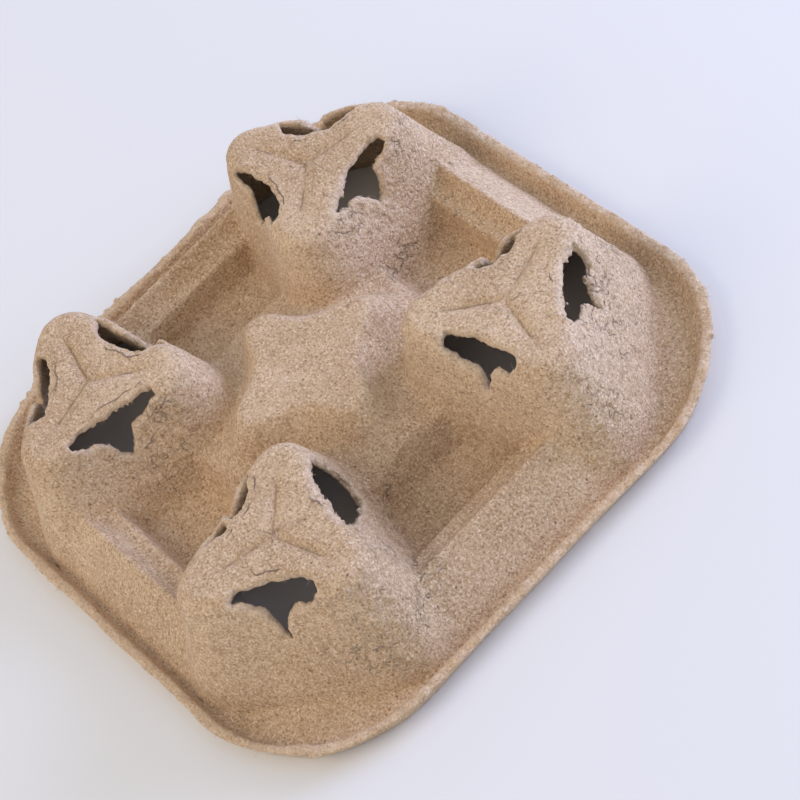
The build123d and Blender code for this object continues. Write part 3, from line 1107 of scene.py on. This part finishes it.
@dataclass
class TornFibres:
    """Loose hairs of pulp along the torn edges, scattered by Geometry Nodes, in millimetres."""

    per_square_mm: float = 1.2
    length: float = 2.4
    radius: float = 0.10
    taper: float = 0.7  # share of its radius that a hair has lost at its tip
    lengths: Pair = (0.35, 1.3)  # shortest and longest as shares of the length
    frayed: Pair = (-0.55, 0.0)  # depths in the torn edge between which the hairs get dense
    lean: float = 1.1  # how far a hair leans either way, in radians
    arch: tuple[Triple, ...] = ((0, 0, 0), (0.15, 0, 0.5), (0.55, 0.1, 0.8))  # shape of a hair 1 long
    curl: float = 1.6  # how far its tip strays
    curls_per_metre: float = 900.0
    seeds: tuple[int, int, int] = (5, 2, 3)  # of place, lean and length

    def sizes(self) -> dict[str, float]:
        """The tree's inputs, in metres."""
        return {"Density": self.per_square_mm / MM ** 2, "Length": self.length * MM,
                "Radius": self.radius * MM}

    def scatter(self, tree: Tree, given: bpy.types.NodeOutputs) -> Socket:
        """Add the nodes that scatter bent hairs where the skin is torn.

        Args:
            tree: the geometry tree.
            given: the tree's inputs.

        Returns:
            The socket with the hairs as curves.
        """
        torn = add_node(tree, "GeometryNodeInputNamedAttribute", {"Name": "torn"}, data_type="FLOAT")
        bare, dense = self.frayed
        share = add_node(tree, "ShaderNodeMapRange", {
            "Value": torn.outputs["Attribute"], "From Min": bare, "From Max": dense}, clamp=True)
        density = add_node(tree, "ShaderNodeMath", {0: share.outputs[0], 1: given["Density"]},
                           operation="MULTIPLY")
        place_seed, lean_seed, length_seed = self.seeds
        points = add_node(tree, "GeometryNodeDistributePointsOnFaces", {
            "Mesh": given["Geometry"], "Density": density.outputs[0], "Seed": place_seed})
        hair = add_node(tree, "GeometryNodeCurveQuadraticBezier", {
            "Resolution": 5, **dict(zip(("Start", "Middle", "End"), self.arch))})
        tilt = add_node(tree, "FunctionNodeRandomValue", {
            0: (-self.lean, -self.lean, 0), 1: (self.lean, self.lean, 6.28), "Seed": lean_seed},
            data_type="FLOAT_VECTOR")
        turn = add_node(tree, "FunctionNodeRotateEuler", {
            "Rotation": points.outputs["Rotation"], "Rotate By": tilt.outputs[0]}, space="LOCAL")
        spread = add_node(tree, "FunctionNodeRandomValue", {
            2: self.lengths[0], 3: self.lengths[1], "Seed": length_seed}, data_type="FLOAT")
        size = add_node(tree, "ShaderNodeMath", {0: spread.outputs[1], 1: given["Length"]},
                        operation="MULTIPLY")
        placed = add_node(tree, "GeometryNodeInstanceOnPoints", {
            "Points": points.outputs["Points"], "Instance": hair.outputs[0], "Rotation": turn.outputs[0],
            "Scale": size.outputs[0]})
        return add_node(tree, "GeometryNodeRealizeInstances", {"Geometry": placed.outputs[0]}).outputs[0]

    def curled(self, tree: Tree, hairs: Socket, factor: Socket) -> Socket:
        """Add the nodes that curl the hairs, more towards their tips.

        Args:
            tree: the geometry tree.
            hairs: the hairs as curves.
            factor: place along a hair, 0 to 1.

        Returns:
            The socket with the curled hairs.
        """
        bend = add_node(tree, "ShaderNodeTexNoise", {"Scale": self.curls_per_metre, "Detail": 1.0},
                        noise_dimensions="3D")
        centred = add_node(tree, "ShaderNodeVectorMath", {0: bend.outputs["Color"], 1: (0.5, 0.5, 0.5)},
                           operation="SUBTRACT")
        moved = add_node(tree, "ShaderNodeVectorMath", {0: centred.outputs[0], "Scale": self.curl * MM},
                         operation="SCALE")
        eased = add_node(tree, "ShaderNodeVectorMath", {0: moved.outputs[0], "Scale": factor},
                         operation="SCALE")
        return add_node(tree, "GeometryNodeSetPosition", {
            "Geometry": hairs, "Offset": eased.outputs[0]}).outputs[0]

    def tree(self, material: bpy.types.Material) -> Tree:
        """Build the tree that turns the skin into its hairs.

        Args:
            material: the pulp finish.

        Returns:
            The tree, with the hairs' density, length and radius as inputs.
        """
        tree = bpy.data.node_groups.new("torn_fibres", "GeometryNodeTree")
        tree.interface.new_socket("Geometry", in_out="INPUT", socket_type="NodeSocketGeometry")
        for name, value in self.sizes().items():
            socket = tree.interface.new_socket(name, in_out="INPUT", socket_type="NodeSocketFloat")
            socket.default_value = value
        tree.interface.new_socket("Geometry", in_out="OUTPUT", socket_type="NodeSocketGeometry")
        given = add_node(tree, "NodeGroupInput").outputs
        factor = add_node(tree, "GeometryNodeSplineParameter").outputs["Factor"]
        hairs = self.curled(tree, self.scatter(tree, given), factor)
        tapered = add_node(tree, "ShaderNodeMath", {0: factor, 1: -self.taper, 2: 1.0},
                           operation="MULTIPLY_ADD")
        thick = add_node(tree, "ShaderNodeMath", {0: tapered.outputs[0], 1: given["Radius"]},
                         operation="MULTIPLY")
        section = add_node(tree, "GeometryNodeCurvePrimitiveCircle", {"Resolution": 3, "Radius": 1.0})
        solid = add_node(tree, "GeometryNodeCurveToMesh", {
            "Curve": hairs, "Profile Curve": section.outputs[0], "Scale": thick.outputs[0],
            "Fill Caps": True})
        joined = add_node(tree, "GeometryNodeRealizeInstances", {"Geometry": solid.outputs[0]})
        dressed = add_node(tree, "GeometryNodeSetMaterial", {
            "Geometry": joined.outputs[0], "Material": material})
        add_node(tree, "NodeGroupOutput", {0: dressed.outputs[0]})
        return tree

    def make(self, skin: bpy.types.Object) -> bpy.types.Object:
        """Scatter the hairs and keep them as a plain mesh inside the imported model's box.

        Args:
            skin: the finished skin, which says where it is torn.

        Returns:
            The hairs.
        """
        hairs = bpy.data.objects.new("torn_fibres", skin.data.copy())
        bpy.context.scene.collection.objects.link(hairs)
        tree = self.tree(skin.data.materials[0])
        modifier = hairs.modifiers.new("fibres", "NODES")
        modifier.node_group = tree
        names = {item.name: item.identifier for item in tree.interface.items_tree if item.in_out == "INPUT"}
        for name, value in self.sizes().items():
            modifier[names[name]] = value
        mesh = bpy.data.meshes.new_from_object(hairs.evaluated_get(bpy.context.evaluated_depsgraph_get()))
        hairs.modifiers.clear()
        copy, hairs.data = hairs.data, mesh
        bpy.data.meshes.remove(copy)
        keep_in_box(mesh)
        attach(hairs, "root")
        log.info("fibres: %d faces", len(mesh.polygons))
        return hairs


@dataclass(frozen=True)
class Lamp:
    """One soft square lamp that faces the carrier: distance and width in metres, power in watts."""

    name: str
    towards: Triple
    distance: float
    width: float
    power: float
    colour: str

    def make(self) -> None:
        """Hang the lamp."""
        data = bpy.data.lights.new(self.name, "AREA")
        data.size, data.energy = self.width, self.power
        data.color = linear(self.colour)[:3]
        lamp = bpy.data.objects.new(self.name, data)
        direction = Vector(self.towards).normalized()
        lamp.location = direction * self.distance
        lamp.rotation_euler = direction.to_track_quat("Z", "Y").to_euler()
        bpy.context.scene.collection.objects.link(lamp)


@dataclass
class Studio:
    """Floor in metres, lamps, room, and the camera worked out from the photograph, in millimetres."""

    board: BoardFinish = field(default_factory=BoardFinish)
    floor_reach: float = 4.0
    eye: Triple = (558.8, -122.6, 657.9)
    right: Triple = (0.61991, 0.69159, -0.37069)
    up: Triple = (-0.46581, 0.70451, 0.53542)
    back: Triple = (0.63145, -0.15924, 0.75889)
    focal_pixels: float = 2700.8
    room_colour: str = "#EEF1FF"
    room_strength: float = 0.73
    lamps: tuple[Lamp, ...] = (Lamp("key", (0.202, 0.949, 0.30), 1.6, 1.0, 28.5, "#BFCBFF"),
                               Lamp("fill", (-0.1, -0.7, 0.7), 1.8, 1.2, 9.5, "#FFE0B8"))

    def camera(self) -> None:
        """Place the camera."""
        data = bpy.data.cameras.new("camera")
        data.sensor_width = SENSOR_WIDTH
        data.lens = self.focal_pixels * SENSOR_WIDTH / PHOTO_WIDTH
        data.clip_start, data.clip_end = 0.05, 20.0
        camera = bpy.data.objects.new("camera", data)
        turn = Matrix((self.right, self.up, self.back)).transposed().to_4x4()
        camera.matrix_world = Matrix.Translation(Vector(self.eye) * MM) @ turn
        bpy.context.scene.collection.objects.link(camera)
        bpy.context.scene.camera = camera

    def floor(self) -> None:
        """Lay the board that the carrier lies on."""
        mesh = bpy.data.meshes.new("floor")
        reach = self.floor_reach
        corners = [(-reach, -reach, 0), (reach, -reach, 0), (reach, reach, 0), (-reach, reach, 0)]
        mesh.from_pydata(corners, [], [(0, 1, 2, 3)])
        mesh.materials.append(self.board.make())
        floor = bpy.data.objects.new("floor", mesh)
        bpy.context.scene.collection.objects.link(floor)

    def room(self) -> None:
        """Give the room a pale, slightly cool light from all round."""
        world = bpy.data.worlds.new("room")
        world.use_nodes = True
        tree = world.node_tree
        tree.nodes.clear()
        light = add_node(tree, "ShaderNodeBackground", {
            "Color": self.room_colour, "Strength": self.room_strength})
        add_node(tree, "ShaderNodeOutputWorld", {"Surface": light.outputs[0]})
        bpy.context.scene.world = world

    def make(self) -> None:
        """Build the whole stage."""
        bpy.context.scene.view_settings.view_transform = "Standard"
        self.camera()
        self.floor()
        self.room()
        for lamp in self.lamps:
            lamp.make()
        log.info("stage: camera, floor, world and %d lamps", len(self.lamps))


def main() -> None:
    """Build the carrier and its stage."""
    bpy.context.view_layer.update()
    Studio().make()
    skin = Tray().skin()
    TornFibres().make(skin)


if __name__ == "__main__":
    main()
